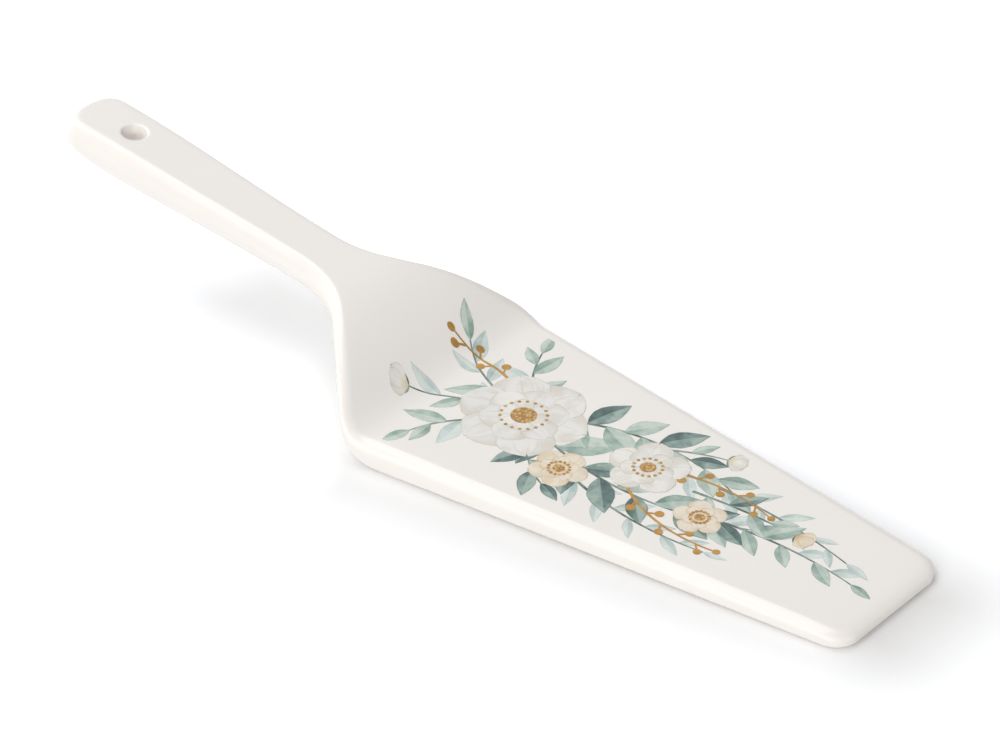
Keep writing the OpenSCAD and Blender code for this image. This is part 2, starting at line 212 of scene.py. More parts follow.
neck = Vector((handle_len, neck_w / 2))
shoulder = Vector((shoulder_x, shoulder_w / 2))
tip = Vector((server_len, tip_w / 2))
neck_arc = round_corner(Vector((0, neck_w / 2)), neck, shoulder, neck_r, neck_steps)
shoulder_arc = round_corner(neck, shoulder, tip, shoulder_r, shoulder_steps)
tip_arc = round_corner(shoulder, tip, Vector((server_len, 0)), tip_r, tip_steps)

end_arc = []
for i in range(end_steps + 1):
    angle = math.pi / 2 * i / end_steps
    along = end_round * (1 - max(0, math.cos(angle)) ** end_power)
    end_arc.append(Vector((along, handle_end_w / 2 * math.sin(angle) ** end_power)))

grip_length = neck_arc[0].x - end_round
grip_steps = math.ceil(grip_length / point_spacing)
grip_side = []
for i in range(1, grip_steps):
    share = i / grip_steps
    narrowing = (handle_end_w - neck_w) / 2 * smooth(share)
    grip_side.append(Vector((end_round + grip_length * share, handle_end_w / 2 - narrowing)))

side = (end_arc + grip_side + neck_arc + straight_run(neck_arc[-1], shoulder_arc[0])
        + shoulder_arc[1:] + straight_run(shoulder_arc[-1], tip_arc[0]) + tip_arc[1:])
other_side = [Vector((point.x, -point.y)) for point in reversed(side[1:])]
tip_edge = [side[-1].lerp(other_side[0], i / cells_across) for i in range(1, cells_across)]
outline = side + tip_edge + other_side
loop_count = len(outline)

outward = []
for i, here in enumerate(outline):
    before = outline[i - 1]
    after = outline[(i + 1) % loop_count]
    along = (here - before).normalized() + (after - here).normalized()
    outward.append(Vector((-along.y, along.x)).normalized())
print("points around the outline:", loop_count)

# %% [markdown]
# ## From the outline to rings
# The moulding's edge rolls off from the top face in a quarter of an ellipse, drops as a short wall,
# and turns under in a small round foot. Each step of that profile is one closed ring of points
# around the server: the outline, moved inwards and set at its own height. Lofting rings keeps the
# mesh in neat quads. A bevel modifier could round a plain edge too, but not with a depth that
# follows the wall, which is only 3.4 mm at the tip.
# The glaze is drawn thin by the edges as it melts, so each ring also carries an *edge* value that
# the glaze's material reads later.

# %% Rings from the top face down to the underside
roll_steps = 14
wall_steps = 4
foot_steps = 7


def grip_or_blade(x, grip, blade):
    """The handle's value up to the neck, the blade's from the shoulders on."""
    share = max(0, min(1, (x - handle_len) / flare_len))
    return grip + (blade - grip) * smooth(share)


def roll_reach(x):
    return grip_or_blade(x, grip_roll_w, roll_w)


def roll_depth(x):
    return min(grip_or_blade(x, grip_roll_h, roll_h),
               grip_or_blade(x, grip_roll_share, roll_share) * wall(x))


def roll_ring(angle):
    ring = []
    for point, out in zip(outline, outward):
        moved = point - out * roll_reach(point.x) * (1 - math.sin(angle))
        drop = roll_depth(point.x) * (1 - math.cos(angle))
        ring.append(Vector((moved.x, moved.y, top_height(moved.x) - drop)))
    return ring


def foot_ring(angle):
    ring = []
    for point, out in zip(outline, outward):
        depth = min(foot_r, foot_share * wall(point.x))
        moved = point - out * depth * (1 - math.cos(angle))
        rise = depth * (1 - math.sin(angle))
        ring.append(Vector((moved.x, moved.y, under_height(moved.x) + rise)))
    return ring


def quarter_rings(draw_ring, steps):
    """The rings of a quarter turn, each with its edge value, which peaks half way."""
    return [(draw_ring(math.pi / 2 * i / steps), math.sin(math.pi * i / steps))
            for i in range(steps + 1)]


rings = quarter_rings(roll_ring, roll_steps)
foot_rings = quarter_rings(foot_ring, foot_steps)
wall_top = rings[-1][0]
wall_foot = foot_rings[0][0]
for i in range(1, wall_steps):
    ring = [high.lerp(low, i / wall_steps) for high, low in zip(wall_top, wall_foot)]
    rings.append((ring, 0.0))
rings += foot_rings
print("rings from top to bottom:", len(rings))

# %% [markdown]
# ## The hanging hole
# The hole is square to the handle's top, which slopes, so its axis leans a little towards the tip.
# Both mouths are opened by a wet sponge before firing, which leaves each a short, soft taper.
# A boolean could cut the hole, but it leaves long thin faces that spoil a gloss. Instead the mesh
# gets a ring of points on each face, a taper of more rings in from each, and a straight bore between.

# %% Rings of the hole
hole_points = 56
rim_steps = 9
bore_steps = 4

rise_over_hole = top_height(hole_back - hole_r) - top_height(hole_back + hole_r)
hole_tilt = math.atan(rise_over_hole / (2 * hole_r))
hole_axis = Vector((math.sin(hole_tilt), 0, math.cos(hole_tilt)))
hole_depth = wall(hole_back) * math.cos(hole_tilt)
top_mouth = Vector((hole_back, 0, top_height(hole_back)))
under_mouth = top_mouth - hole_axis * hole_depth

level = Vector((math.cos(hole_tilt), 0, -math.sin(hole_tilt)))
spokes = []
for i in range(hole_points):
    angle = 2 * math.pi * i / hole_points
    spokes.append(level * math.cos(angle) + Vector((0, math.sin(angle), 0)))


def mouth_rings(mouth, height_at, inwards):
    """The ring where a mouth's rim meets its face, then the rings of the taper to the bore."""
    ring_on_face = []
    for spoke in spokes:
        point = mouth + spoke * (hole_r + rim_w)
        point.z = height_at(point.x)
        ring_on_face.append(point)
    found = [ring_on_face]
    for step in range(1, rim_steps + 1):
        share = step / rim_steps
        inset = rim_w * (1 - (1 - share) ** rim_power)
        down = inwards * rim_depth * share
        found.append([point - spoke * inset + down
                      for point, spoke in zip(ring_on_face, spokes)])
    return found


top_rim = mouth_rings(top_mouth, top_height, -hole_axis)
under_rim = mouth_rings(under_mouth, under_height, hole_axis)
bore = [[a.lerp(b, i / bore_steps) for a, b in zip(top_rim[-1], under_rim[-1])]
        for i in range(1, bore_steps)]
print("hole leans by", round(math.degrees(hole_tilt), 2), "degrees and is",
      round(hole_depth / MM, 2), "mm deep")

# %% [markdown]
# ## Skin between the rings
# Quads join each ring to the next, down the server's edge and down through the hole. *bmesh* makes
# points and faces one by one, which suits a shape that is worked out like this one.

# %% Join the rings
body = bmesh.new()
edge_layer = body.verts.layers.float.new("edge")


def add_ring(points, edge=0.0):
    made = [body.verts.new(point) for point in points]
    for vert in made:
        vert[edge_layer] = edge
    return made


def join_rings(stack):
    for upper, lower in zip(stack, stack[1:]):
        for i in range(len(upper)):
            j = (i + 1) % len(upper)
            body.faces.new((upper[i], upper[j], lower[j], lower[i]))


made_rings = [add_ring(points, edge) for points, edge in rings]
made_top = [add_ring(points) for points in top_rim]
made_under = [add_ring(points) for points in under_rim]
made_bore = [made_top[-1], *(add_ring(points) for points in bore), made_under[-1]]
for stack in (made_rings, made_top, made_under, made_bore):
    join_rings(stack)
print("faces between the rings:", len(body.faces))

# %% [markdown]
# ## Closing the faces
# The flat faces are strips across the server, which keep every quad square to the length. The strips
# round the hole keep only their outer cells, so the bright line on the edge stays straight, and a
# *constrained Delaunay* fill knits the gap to the hole's ring. Two loose rings of points near the
# mouth keep its triangles small and even. In the end no edge may be left open.

# %% Close the top and the underside
patch_reach = 7 * MM
halo_shares = (1.22, 1.5)
knit_precision = 1e-8
FILL_INSIDE = 1


def knit(border, mouth, height_at):
    """Fills between a border of points and the hole's mouth."""
    centre = Vector((hole_back, 0))
    loose = []
    for share in halo_shares:
        for vert in mouth[::2]:
            flat = centre + (vert.co.xy - centre) * share
            loose.append(body.verts.new((flat.x, flat.y, height_at(flat.x))))
    verts = border + mouth + loose
    n, m = len(border), len(mouth)
    edges = [(i, (i + 1) % n) for i in range(n)]
    edges += [(n + i, n + (i + 1) % m) for i in range(m)]
    knitted = geometry.delaunay_2d_cdt([vert.co.xy for vert in verts], edges, [], FILL_INSIDE,
                                       knit_precision)
    triangles, sources = knitted[2:4]
    for triangle in triangles:
        picked = [sources[corner][0] for corner in triangle]
        if not all(n <= index < n + m for index in picked):
            body.faces.new([verts[index] for index in picked])


def close_face(ring, mouth, height_at):
    """Strips across the server, with a knitted patch around the hole."""
    rows = [[ring[0]]]
    for i in range(1, len(side) - 1):
        left, right = ring[i], ring[loop_count - i]
        middle = [body.verts.new(left.co.lerp(right.co, j / cells_across))
                  for j in range(1, cells_across)]
        rows.append([left, *middle, right])
    rows.append(ring[len(side) - 1:len(side) + cells_across])
    near_hole = [i for i, row in enumerate(rows)
                 if abs(row[0].co.x - hole_back) < patch_reach]
    first, last = near_hole[0], near_hole[-1]
    for i, (a, b) in enumerate(zip(rows, rows[1:])):
        beside_hole = first <= i < last
        for j in (0, cells_across - 1) if beside_hole else range(cells_across):
            if len(a) == 1:
                body.faces.new((a[0], b[j], b[j + 1]))
            else:
                body.faces.new((a[j], b[j], b[j + 1], a[j + 1]))
    for row in rows[first + 1:last]:
        for vert in row[2:-2]:
            body.verts.remove(vert)
    border = rows[first][1:-1] + [row[-2] for row in rows[first + 1:last]]
    border += rows[last][-2:0:-1] + [row[1] for row in reversed(rows[first + 1:last])]
    knit(border, mouth, height_at)


close_face(made_rings[0], made_top[0], top_height)
close_face(made_rings[-1], made_under[0], under_height)
bmesh.ops.recalc_face_normals(body, faces=body.faces)
open_edges = [edge for edge in body.edges if len(edge.link_faces) != 2]
print("faces of the moulding:", len(body.faces), "open edges:", len(open_edges))

# %% [markdown]
# ## A little unevenness
# Slip shrinks as it dries and the glaze is dipped, so no wall is dead flat. That is what makes the
# bright line along the edge swell and thin as the eye follows it. *Perlin noise* with a spacing of
# 26 mm sinks the surface by up to a tenth of a millimetre, and never raises it, so the server stays
# inside the CAD model's box. It is a fixed field, not a random one, so it is the same in each run,
# and the print, which is laid on later, asks the same function.

# %% Uneven surface, then the finished object
waver_depth = 0.1 * MM
waver_spacing = 26 * MM
still_below = 0.6 * MM
still_reach = 2.4 * MM
to_middle = Vector((server_len / 2, 0, 0))


def add_object(name, data):
    made = bpy.data.objects.new(name, data)
    bpy.context.scene.collection.objects.link(made)
    return made


def waver(point):
    """How far the surface stands back at a point, as a negative length, fading at the table."""
    fade = min(1, max(0, (point.z - still_below) / still_reach))
    return -waver_depth * fade * (1 - noise.noise(point / waver_spacing)) / 2


body.normal_update()
moved = [vert.co + vert.normal * waver(vert.co) - to_middle for vert in body.verts]
for vert, position in zip(body.verts, moved):
    vert.co = position
server_mesh = bpy.data.meshes.new("glazed_server")
body.to_mesh(server_mesh)
body.free()
server_mesh.polygons.foreach_set("use_smooth", [True] * len(server_mesh.polygons))
glazed_server = add_object("glazed_server", server_mesh)
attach(glazed_server, "root")
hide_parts("handle", "blade")
print("glazed_server:", [round(value / MM, 1) for value in glazed_server.dimensions], "mm")

# %% [markdown]
# ## The transfer print
# A ceramic transfer is screen-printed on paper, one enamel colour after another, slid wet onto the
# glaze and fired at about 800 degrees C, where each colour sinks into the gloss as a film some
# 0.02 mm thick. Here too every colour pass is an object of its own. Its marks are thin closed
# patches that follow the top face. A painted texture would be quicker, but this print then stays
# sharp at any distance, and each colour can be changed alone.
# First the places: the server's own face gives a point and a direction, and a small lift per colour
# keeps the films apart. The lifts are a few times the real ones, and still too thin to see.

# %% Where the print lies
print_margin = 1.2 * MM
first_lift = 0.03 * MM
colour_lift = 0.014 * MM
mark_lift = 0.0005 * MM
marks_in_turn = 24
sunk = 0.03 * MM
slope_probe = 0.05 * MM
COLOURS = ("pale", "stem", "sage", "deep", "gold", "blush", "cream", "stamen")

field_side = [point - out * (roll_reach(point.x) + print_margin)
              for point, out in zip(side, outward)]


def field_half_width(x):
    """Half the width that the print may take at x."""
    for a, b in zip(field_side, field_side[1:]):
        if a.x <= x <= b.x and b.x > a.x:
            return a.y + (b.y - a.y) * (x - a.x) / (b.x - a.x)
    return field_side[-1].y


def on_glaze(x, y, lift):
    """The point of the uneven top face over (x, y), raised by a lift, in the row frame."""
    x = min(x, field_side[-1].x)
    reach = field_half_width(x)
    y = max(-reach, min(reach, y))
    slope = (top_height(x + slope_probe) - top_height(x - slope_probe)) / (2 * slope_probe)
    normal = Vector((-slope, 0, 1)).normalized()
    point = Vector((x, y, top_height(x)))
    return point + normal * (lift + waver(point)) - to_middle


def place(u, v):
    """A point at share u of the way from the shoulders to the tip and share v of the half width."""
    half_width = (shoulder_w + (tip_w - shoulder_w) * u) / 2
    return Vector((shoulder_x + u * blade_len, v * half_width))


print("half width for print at the shoulders in mm:", round(field_half_width(shoulder_x) / MM, 1))

# %% [markdown]
# ## What is printed
# The design is a posy of open blossoms at the shoulders, from which curved sprays of leaves trail to
# the tip and fall back over the slope, with gold twigs between. Each row below is one spray, flower
# or twig. The stems turn evenly, so two numbers, a heading and a turn, draw each as an arc.

# %% Sprays, flowers and twigs
Spray = namedtuple("Spray", "u v heading turn reach count length width tone other bud",
                   defaults=[None])
Flower = namedtuple("Flower", "u v heading size petals tone")
Twig = namedtuple("Twig", "u v heading turn reach count")

sprays = [
    Spray(0.24, -0.05, -24, 50, 0.46, 12, 1.08, 1.21, "deep", "sage"),
    Spray(0.25, 0.12, 34, -58, 0.37, 11, 0.98, 1.10, "sage", "deep"),
    Spray(0.60, -0.16, 16, -26, 0.32, 9, 0.80, 0.76, "sage", "pale"),
    Spray(0.50, 0.24, 8, -22, 0.38, 10, 0.74, 0.56, "pale", "pale"),
    Spray(0.56, 0.10, 10, -12, 0.21, 5, 0.75, 0.70, "sage", "deep", "blush"),
    Spray(0.17, 0.06, 170, -30, 0.19, 6, 0.90, 0.76, "pale", "sage"),
    Spray(0.18, 0.20, 134, -24, 0.145, 5, 0.85, 0.80, "sage", "pale"),
    Spray(0.17, -0.20, -150, 44, 0.15, 5, 0.90, 0.85, "sage", "pale"),
    Spray(0.16, -0.06, 186, 34, 0.17, 4, 0.80, 0.72, "pale", "sage", "cream"),
    Spray(0.36, -0.36, -20, 30, 0.32, 9, 0.74, 0.56, "pale", "pale"),
    Spray(0.26, -0.24, -62, 40, 0.12, 4, 0.85, 0.85, "deep", "sage"),
    Spray(0.42, 0.28, 42, -26, 0.15, 3, 0.75, 0.68, "sage", "sage", "cream"),
]
flowers = [
    Flower(0.20, 0.00, 12, 1.00, 6, "cream"),
    Flower(0.46, 0.11, 40, 0.62, 5, "cream"),
    Flower(0.345, -0.37, 10, 0.45, 5, "blush"),
    Flower(0.615, -0.17, -20, 0.40, 5, "blush"),
]
twigs = [
    Twig(0.47, 0.14, 26, -44, 0.24, 6),
    Twig(0.47, -0.23, -34, 46, 0.23, 6),
    Twig(0.12, 0.26, 156, 40, 0.15, 5),
]


def heading_at(row, share):
    return math.radians(row.heading + row.turn * share)


def way(angle):
    return Vector((math.cos(angle), math.sin(angle)))


def left_of(ahead):
    return Vector((-ahead.y, ahead.x))


def stem_point(row, share):
    return place(row.u, row.v) + way(heading_at(row, share / 2)) * row.reach * blade_len * share


def side_of(i):
    """Which side of its stem a leaf or berry is on."""
    return -1 if i % 2 == 0 else 1


print("sprays:", len(sprays), "flowers:", len(flowers), "twigs:", len(twigs))

# %% [markdown]
# ## One mark at a time
# Each mark is a grid of points: rows run along the leaf or petal, and columns across it. Beside its
# place, every point remembers how far *along* and *across* its mark it is, how many millimetres are
# left to the mark's *border*, and its mark's *tone*, a number drawn once from a seeded row of
# chances. The enamels' materials read these four, so that a wash can darken towards a root, and dry
# in a line at its border, as a brush would leave it. Both faces and the thin rim are built, so each
# patch is a closed solid.

# %% A mark becomes a patch
print_seed = 7
chance = random.Random(print_seed)
VALUES = ("along", "across", "border", "tone")
sheets = {colour: {"corners": [], "faces": [], "marks": 0, **{value: [] for value in VALUES}}
          for colour in COLOURS}


def add_patch(colour, rows, level=None):
    """Rows of (point, along, across, border) become a thin closed patch on the glaze."""
    sheet = sheets[colour]
    if level is None:
        level = sheet["marks"] % marks_in_turn
    lift = first_lift + COLOURS.index(colour) * colour_lift + level * mark_lift
    sheet["marks"] += 1
    tone = chance.random()
    start = len(sheet["corners"])
    wide = len(rows[0])
    for height in (lift, -sunk):
        for row in rows:
            for point, along, across, border in row:
                sheet["corners"].append(on_glaze(point.x, point.y, height))
                for value, number in zip(VALUES, (along, across, border / MM, tone)):
                    sheet[value].append(number)
    below = len(rows) * wide
    for r in range(len(rows) - 1):
        for c in range(wide - 1):
            quad = [start + r * wide + c, start + (r + 1) * wide + c]
            quad += [quad[1] + 1, quad[0] + 1]
            sheet["faces"].append(quad)
            sheet["faces"].append([corner + below for corner in reversed(quad)])
    last_row = start + (len(rows) - 1) * wide
    rim = list(range(start, start + wide - 1))
    rim += list(range(start + wide - 1, last_row + wide - 1, wide))
    rim += list(range(last_row + wide - 1, last_row, -1))
    rim += list(range(last_row, start, -wide))
    for a, b in zip(rim, rim[1:] + rim[:1]):
        sheet["faces"].append([a, b, b + below, a + below])


print("colours to print:", len(sheets))

# %% [markdown]
# ## Two kinds of shape
# A *swelling* grows from a root, as wide as a function says, with a slightly ragged border, as a
# brush gives. Leaves and petals are both swellings. A *disc* is a round mark, bowed out from a
# square grid, because a fan of triangles would pinch the pattern in its middle.

# %% Swellings and discs
end_gap_share = 0.004
notch_w_share = 0.35
notch_power = 4
ragged_share = 0.05
ragged_along = 9
ragged_across = 3
ragged_apart = 50


def swelling(root, angle, length, width, swell, grid, sway=0.0, notch=0.0):
    """Rows of a leaf or petal that leaves its root at an angle, as wide as its swell says."""
    steps, cells = grid
    ahead = way(angle)
    rows = []
    for i in range(steps + 1):
        share = end_gap_share + (1 - 2 * end_gap_share) * i / steps
        row = []
        for j in range(cells + 1):
            across = 2 * j / cells - 1
            dip = notch * share ** notch_power * math.exp(-(across / notch_w_share) ** 2)
            spot = Vector((ragged_along * share, ragged_across * across, ragged_apart * angle))
            half = width / 2 * swell(share) * (1 + ragged_share * noise.noise(spot))
            aside = half * across + sway * length * share * (1 - share)
            point = root + ahead * length * (share - dip) + left_of(ahead) * aside
            border = min(half * (1 - abs(across)), length * min(share, 1 - share))
            row.append((point, share, across, border))
        rows.append(row)
    return rows


def disc(centre, radius, cells):
    """Rows of a round mark: a square grid that is bowed out to a circle."""
    rows = []
    for i in range(cells + 1):
        a = 2 * i / cells - 1
        row = []
        for j in range(cells + 1):
            b = 2 * j / cells - 1
            across = a * math.sqrt(1 - b * b / 2)
            along = b * math.sqrt(1 - a * a / 2)
            border = radius * (1 - math.hypot(along, across))
            row.append((centre + Vector((across, along)) * radius, along, across, border))
        rows.append(row)
    return rows


print("points of a round mark with 5 cells:", sum(len(row) for row in disc(place(0, 0), MM, 5)))

# %% [markdown]
# ## Leaves and stems
# A leaf's width follows half a sine wave that leans forward a little. Its first size is that of the
# print's largest leaf, and each spray scales it. The leaves take turns on the two sides, sway a
# little and close towards the end. They also bow slightly to one side, which is what makes them
# look grown and not stamped.

# %% Draw the leaves and stems
leaf_len = 15 * MM
leaf_w = 6.4 * MM
leaf_lean_power = 0.85
leaf_angle = 54
leaf_close_angle = 22
leaf_taper_share = 0.35
first_leaf_share = 0.7
sway_angle = 9
sway_share = 0.13
sway_step_angle = 110
leaf_bow = 0.05
leaf_grid = (20, 10)
stem_w = 0.9 * MM
stem_taper_share = 0.6
stem_steps = 28


def leaf_swell(share):
    return math.sin(math.pi * share ** leaf_lean_power)


def draw_stem(colour, row):
    rows = []
    for i in range(stem_steps + 1):
        share = i / stem_steps
        half = stem_w / 2 * (1 - stem_taper_share * share)
        aside = left_of(way(heading_at(row, share))) * half
        middle = stem_point(row, share)
        rows.append([(middle - aside, share, -1, 0), (middle, share, 0, half),
                     (middle + aside, share, 1, 0)])
    add_patch(colour, rows)


def draw_leaf(row, i):
    is_last = i == row.count - 1
    share = 1 if is_last else (i + first_leaf_share) / row.count
    sway = math.sin(math.radians(sway_step_angle * (i + row.count / 2)))
    size = (1 - leaf_taper_share * share) * (1 + sway_share * sway)
    opening = side_of(i) * (leaf_angle - leaf_close_angle * share) + sway_angle * sway
    angle = heading_at(row, share) + (0 if is_last else math.radians(opening))
    colour = row.other if i % 3 > 0 and i % 2 == 1 else row.tone
    add_patch(colour, swelling(stem_point(row, share), angle, leaf_len * row.length * size,
                               leaf_w * row.width * size, leaf_swell, leaf_grid,
                               sway=leaf_bow * side_of(i)))


for spray in sprays:
    draw_stem("stem", spray)
    for i in range(spray.count):
        if i < spray.count - 1 or spray.bud is None:
            draw_leaf(spray, i)
print("leaves:", sum(sheets[colour]["marks"] for colour in ("deep", "sage", "pale")))

# %% [markdown]
# ## Blossoms and buds
# An open blossom has an outer whorl of broad petals, each with a shallow notch at its end, and
# shorter whorls on it, each turned by half a petal: one on a small blossom, two on a large one. The
# eye and a ring of stamens go on last. A bud is three short petals in two sepals.

# %% Draw the buds and flowers
petal_len = 17.5 * MM
petal_w_share = 0.86
petal_lean_power = 1.6
petal_square_power = 0.7
petal_notch = 0.07
petal_grid = (20, 14)
whorl_shares = (1.0, 0.66, 0.4)
small_whorls = 2
small_flower_size = 0.6
eye_r = 3.4 * MM
eye_cells = 12
stamen_r = 0.5 * MM
stamen_cells = 5
stamen_ring_share = 1.75
stamens_per_petal = 3
bud_share = 0.3
bud_angle = 26
bud_grid = (14, 8)
sepal_share = 0.28
sepal_grid = (10, 4)
stalk_angle = 50


def petal_swell(share):
    return max(0, math.sin(math.pi * share ** petal_lean_power)) ** petal_square_power


def draw_petal(colour, root, angle, length, grid, level):
    add_patch(colour, swelling(root, angle, length, length * petal_w_share, petal_swell, grid,
                               notch=petal_notch), level)


for spray in sprays:
    if spray.bud is None:
        continue
    top = stem_point(spray, 1)
    heading = heading_at(spray, 1)
    for opening in (-stalk_angle, stalk_angle):
        add_patch("deep", swelling(top, heading + math.radians(opening), leaf_len * sepal_share,
                                   leaf_w * sepal_share, leaf_swell, sepal_grid))
    for level, opening in enumerate((-bud_angle, bud_angle, 0)):
        draw_petal(spray.bud, top, heading + math.radians(opening), petal_len * bud_share,
                   bud_grid, level)

for flower in flowers:
    heart = place(flower.u, flower.v)
    step = 2 * math.pi / flower.petals
    is_small = flower.size < small_flower_size
    for whorl, share in enumerate(whorl_shares[:small_whorls] if is_small else whorl_shares):
        for i in range(flower.petals):
            angle = math.radians(flower.heading) + step * (i + whorl / 2)
            draw_petal(flower.tone, heart, angle, petal_len * flower.size * share, petal_grid,
                       whorl * flower.petals + i)
    eye = eye_r * flower.size
    add_patch("stamen", disc(heart, eye, eye_cells))
    stamens = stamens_per_petal * flower.petals
    for i in range(stamens):
        spot = heart + way(2 * math.pi * i / stamens) * eye * stamen_ring_share
        add_patch("stamen", disc(spot, stamen_r, stamen_cells))
print("petals:", sheets["cream"]["marks"] + sheets["blush"]["marks"])

# %% [markdown]
# ## Gold twigs
# A twig is a stem with berries on short stalks, left and right in turn, and one at its end. The
# berries get smaller towards the end, as on a growing twig.

# %% Draw the twigs
stalk_share = 2.5
stalk_w_share = 0.6
berry_r = 1.25 * MM
berry_taper_share = 0.25
berry_cells = 8

for twig in twigs:
    draw_stem("gold", twig)
    for i in range(twig.count):
        share = (i + 1) / twig.count
        spot = stem_point(twig, share)
        if i < twig.count - 1:
            ahead = way(heading_at(twig, share) + math.radians(side_of(i) * stalk_angle))
            aside = left_of(ahead) * stem_w * stalk_w_share / 2
            end = spot + ahead * berry_r * stalk_share
            add_patch("gold", [[(spot - aside, 0, -1, 0), (spot + aside, 0, 1, 0)],
                               [(end - aside, 1, -1, 0), (end + aside, 1, 1, 0)]])
            spot = end
        radius = berry_r * (1 - berry_taper_share * i / twig.count)
        add_patch("gold", disc(spot, radius, berry_cells))
print({colour: sheets[colour]["marks"] for colour in COLOURS})

# %% [markdown]
# ## One object per colour pass
# Each list of points and faces becomes a mesh. The four values go in as *attributes* on its points.
# Edges sharper than 40 degrees stay sharp, so that a film's rim doesn't bend the light on its top.

# %% Make the eight print objects
sharp_angle = 40
PASSES = {
    "pale": ("pale_leaves", "pale_leaf_print", "pale_enamel"),
    "stem": ("stems", "stem_print", "stem_enamel"),
    "sage": ("sage_leaves", "sage_leaf_print", "sage_enamel"),
    "deep": ("deep_teal_leaves", "deep_leaf_print", "deep_teal_enamel"),
    "gold": ("gold_twigs", "gold_print", "fired_gold"),
    "blush": ("blush_petals", "blush_petal_print", "blush_enamel"),
    "cream": ("cream_petals", "cream_petal_print", "cream_enamel"),
    "stamen": ("eyes_and_stamens", "stamen_print", "ochre_enamel"),
}
printed = {}
for colour, (name, node, slot) in PASSES.items():
    sheet = sheets[colour]
    mesh = bpy.data.meshes.new(name)
    mesh.from_pydata(sheet["corners"], [], sheet["faces"])
    for value in VALUES:
        attribute = mesh.attributes.new(value, "FLOAT", "POINT")
        attribute.data.foreach_set("value", sheet[value])
    mesh.polygons.foreach_set("use_smooth", [True] * len(mesh.polygons))
    mesh.set_sharp_from_angle(angle=math.radians(sharp_angle))
    film = add_object(name, mesh)
    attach(film, "root")
    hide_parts(node)
    printed[colour] = film
    print(name, "faces:", len(mesh.polygons), "marks:", sheet["marks"])

# %% [markdown]
# ## How the materials are written
# A colour is written as the sRGB hex value that one would pick from a paint card. Blender works in
# linear light, so one function turns hex to linear. One other function adds a shader node: its
# settings by name, and its sockets by name or number, where a node or socket as the value makes
# a link. Everything else is plain node work, in which real sizes in millimetres set the scales.

# %% Helpers for materials
MIX_FACTOR, MIX_A, MIX_B = 0, 6, 7
VECTOR_SCALE = 3
# A node's result is its first output, except that a Mix node's colour is its third.
RESULT_OF = {"ShaderNodeMix": 2}


def linear(hex_colour):
    """An sRGB hex colour in linear light, by the curve of the sRGB standard."""
    parts = [int(hex_colour[i:i + 2], 16) / 255 for i in (1, 3, 5)]
    curve = [part / 12.92 if part <= 0.04045 else ((part + 0.055) / 1.055) ** 2.4
             for part in parts]
    return (*curve, 1.0)


def add_node(tree, kind, sockets=None, **settings):
    """Adds a node, whose kind is given without Blender's prefix ShaderNode."""
    made = tree.nodes.new("ShaderNode" + kind)
    for name, value in settings.items():
        setattr(made, name, value)
    for socket, value in (sockets or {}).items():
        if isinstance(value, bpy.types.Node):
            value = value.outputs[RESULT_OF.get(value.bl_idname, 0)]
        if isinstance(value, bpy.types.NodeSocket):
            tree.links.new(value, made.inputs[socket])
        else:
            made.inputs[socket].default_value = value
    return made


def start_material(name):
    """An empty material, its tree, and the place on the object, in metres, that it colours."""
    material = bpy.data.materials.new(name)
    material.use_nodes = True
    tree = material.node_tree
    tree.nodes.clear()
    return material, tree, add_node(tree, "TexCoord").outputs["Object"]


def finish_material(material, tree, piece, surface):
    """Sends the surface to the output and puts the material on its piece."""
    add_node(tree, "OutputMaterial", {"Surface": surface})
    piece.data.materials.append(material)
    print(material.name, "has", len(tree.nodes), "nodes")


def per_mm(size):
    """A texture's scale, for a pattern that repeats once in a size given in millimetres."""
    return 1 / (size * MM)


print("middle grey in linear light:", [round(part, 3) for part in linear("#808080")])

# %% [markdown]
# ## The glaze
# Common name: stoneware under a clear gloss glaze. The clay fires to a warm white, and the glaze is
# glass, about 0.3 mm thick, so the colour looks soft and the shine sits on top of it. IOR is that of
# glaze glass, 1.5. Roughness is 0.07, low enough for crisp lamp reflections, and rises a little
# where the glaze is thin. To the eye it gives a milky body under a hard wet shine, slightly creamier
# on the edges, a faint orange peel, and a few specks of iron in the clay.
# Real orange peel is about 0.01 mm deep and 2 to 10 mm from crest to crest, which this copies.

# %% Glaze material
glass_ior = 1.5
cream_on_edges = 0.3
specks_left_out = 0.62
speck_strength = 0.35
peel_depth = 0.02 * MM

glaze, tree, where = start_material("clear_gloss_glaze_on_white_stoneware")
edge_value = add_node(tree, "Attribute", attribute_name="edge").outputs["Fac"]
cloud = add_node(tree, "TexNoise", {"Vector": where, "Scale": per_mm(40), "Detail": 2.0})
hue = add_node(tree, "Mix", {MIX_FACTOR: cloud, MIX_A: linear("#f7f3ef"),
               MIX_B: linear("#f2eee9")}, data_type="RGBA")
thin = add_node(tree, "Math", {0: edge_value, 1: cream_on_edges}, operation="MULTIPLY")

speck = add_node(tree, "TexVoronoi", {"Vector": where, "Scale": per_mm(13)})
speck_size = add_node(tree, "MapRange", {"Value": speck.outputs["Distance"],
                      "From Min": 0.008, "From Max": 0.02, "To Min": 1.0, "To Max": 0.0})
speck_pick = add_node(tree, "Math", {0: speck.outputs["Color"], 1: specks_left_out},
                      operation="GREATER_THAN")
iron = add_node(tree, "Math", {0: speck_size, 1: speck_pick}, operation="MULTIPLY")
iron = add_node(tree, "Math", {0: iron, 1: speck_strength}, operation="MULTIPLY")
for share, tint in ((thin, "#f3ebe1"), (iron, "#9a8c76")):
    hue = add_node(tree, "Mix", {MIX_FACTOR: share, MIX_A: hue, MIX_B: linear(tint)},
                   data_type="RGBA")

